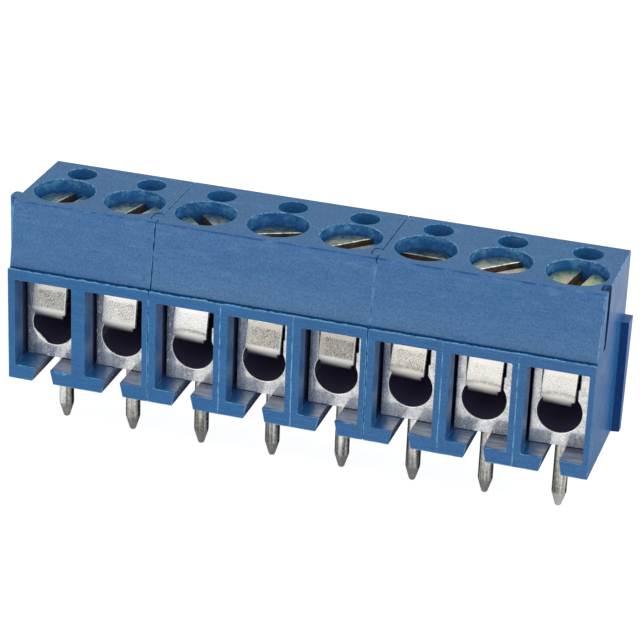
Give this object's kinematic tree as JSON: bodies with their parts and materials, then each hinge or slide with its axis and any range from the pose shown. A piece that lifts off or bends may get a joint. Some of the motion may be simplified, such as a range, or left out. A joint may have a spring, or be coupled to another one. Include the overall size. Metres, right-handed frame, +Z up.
{
  "type": "pcb terminal block",
  "caption": "Blue screw terminal block for circuit boards: interlocking housings with front wire openings, plated clamps, slotted screws, bent wire guards and a row of round solder pins.",
  "frame": {"origin": "middle of the solder pin row, on the face that sits on the board", "axes": "+X along the row of poles, -Y out of the wire openings, +Z up, away from the board"},
  "size_m": [0.041, 0.0088, 0.017],
  "materials": {
    "housing": "moulded blue plastic, satin",
    "clamp": "tin plated",
    "guard": "tin plated, grainy",
    "screw": "zinc plated, yellow passivated",
    "pin": "tin plated, dull"
  },
  "bodies": {
    "housing": {"housing_left_2pole": "housing", "housing_middle_3pole": "housing", "housing_right_3pole": "housing", "clamp_block_1": "clamp", "clamp_block_2": "clamp", "clamp_block_3": "clamp", "clamp_block_4": "clamp", "clamp_block_5": "clamp", "clamp_block_6": "clamp", "clamp_block_7": "clamp", "clamp_block_8": "clamp", "solder_pin_1": "pin", "solder_pin_2": "pin", "solder_pin_3": "pin", "solder_pin_4": "pin", "solder_pin_5": "pin", "solder_pin_6": "pin", "solder_pin_7": "pin", "solder_pin_8": "pin"},
    "guard_1": {"wire_guard_1": "guard"},
    "screw_1": {"clamp_screw_1": "screw"},
    "guard_2": {"wire_guard_2": "guard"},
    "screw_2": {"clamp_screw_2": "screw"},
    "guard_3": {"wire_guard_3": "guard"},
    "screw_3": {"clamp_screw_3": "screw"},
    "guard_4": {"wire_guard_4": "guard"},
    "screw_4": {"clamp_screw_4": "screw"},
    "guard_5": {"wire_guard_5": "guard"},
    "screw_5": {"clamp_screw_5": "screw"},
    "guard_6": {"wire_guard_6": "guard"},
    "screw_6": {"clamp_screw_6": "screw"},
    "guard_7": {"wire_guard_7": "guard"},
    "screw_7": {"clamp_screw_7": "screw"},
    "guard_8": {"wire_guard_8": "guard"},
    "screw_8": {"clamp_screw_8": "screw"}
  },
  "joints": [
    {"name": "guard_1_slide", "type": "slide", "parent": "housing", "child": "guard_1", "axis": [0, 0, 1], "range_m": [-0.0011, 0.0005]},
    {"name": "screw_1_turn", "type": "hinge", "parent": "guard_1", "child": "screw_1", "pos_m": [-0.0175, 0, 0.008], "axis": [0, 0, 1], "range_deg": [-793, 361]},
    {"name": "guard_2_slide", "type": "slide", "parent": "housing", "child": "guard_2", "axis": [0, 0, 1], "range_m": [-0.0011, 0.0005]},
    {"name": "screw_2_turn", "type": "hinge", "parent": "guard_2", "child": "screw_2", "pos_m": [-0.0125, 0, 0.008], "axis": [0, 0, 1], "range_deg": [-793, 361]},
    {"name": "guard_3_slide", "type": "slide", "parent": "housing", "child": "guard_3", "axis": [0, 0, 1], "range_m": [-0.0011, 0.0005]},
    {"name": "screw_3_turn", "type": "hinge", "parent": "guard_3", "child": "screw_3", "pos_m": [-0.0075, 0, 0.008], "axis": [0, 0, 1], "range_deg": [-793, 361]},
    {"name": "guard_4_slide", "type": "slide", "parent": "housing", "child": "guard_4", "axis": [0, 0, 1], "range_m": [-0.0011, 0.0005]},
    {"name": "screw_4_turn", "type": "hinge", "parent": "guard_4", "child": "screw_4", "pos_m": [-0.0025, 0, 0.008], "axis": [0, 0, 1], "range_deg": [-793, 361]},
    {"name": "guard_5_slide", "type": "slide", "parent": "housing", "child": "guard_5", "axis": [0, 0, 1], "range_m": [-0.0011, 0.0005]},
    {"name": "screw_5_turn", "type": "hinge", "parent": "guard_5", "child": "screw_5", "pos_m": [0.0025, 0, 0.008], "axis": [0, 0, 1], "range_deg": [-793, 361]},
    {"name": "guard_6_slide", "type": "slide", "parent": "housing", "child": "guard_6", "axis": [0, 0, 1], "range_m": [-0.0011, 0.0005]},
    {"name": "screw_6_turn", "type": "hinge", "parent": "guard_6", "child": "screw_6", "pos_m": [0.0075, 0, 0.008], "axis": [0, 0, 1], "range_deg": [-793, 361]},
    {"name": "guard_7_slide", "type": "slide", "parent": "housing", "child": "guard_7", "axis": [0, 0, 1], "range_m": [-0.0011, 0.0005]},
    {"name": "screw_7_turn", "type": "hinge", "parent": "guard_7", "child": "screw_7", "pos_m": [0.0125, 0, 0.008], "axis": [0, 0, 1], "range_deg": [-793, 361]},
    {"name": "guard_8_slide", "type": "slide", "parent": "housing", "child": "guard_8", "axis": [0, 0, 1], "range_m": [-0.0011, 0.0005]},
    {"name": "screw_8_turn", "type": "hinge", "parent": "guard_8", "child": "screw_8", "pos_m": [0.0175, 0, 0.008], "axis": [0, 0, 1], "range_deg": [-793, 361]}
  ],
  "couplings": [
    {"joint": "screw_1_turn", "follows": "guard_1_slide", "rad_per_m": 12566},
    {"joint": "screw_2_turn", "follows": "guard_2_slide", "rad_per_m": 12566},
    {"joint": "screw_3_turn", "follows": "guard_3_slide", "rad_per_m": 12566},
    {"joint": "screw_4_turn", "follows": "guard_4_slide", "rad_per_m": 12566},
    {"joint": "screw_5_turn", "follows": "guard_5_slide", "rad_per_m": 12566},
    {"joint": "screw_6_turn", "follows": "guard_6_slide", "rad_per_m": 12566},
    {"joint": "screw_7_turn", "follows": "guard_7_slide", "rad_per_m": 12566},
    {"joint": "screw_8_turn", "follows": "guard_8_slide", "rad_per_m": 12566}
  ]
}
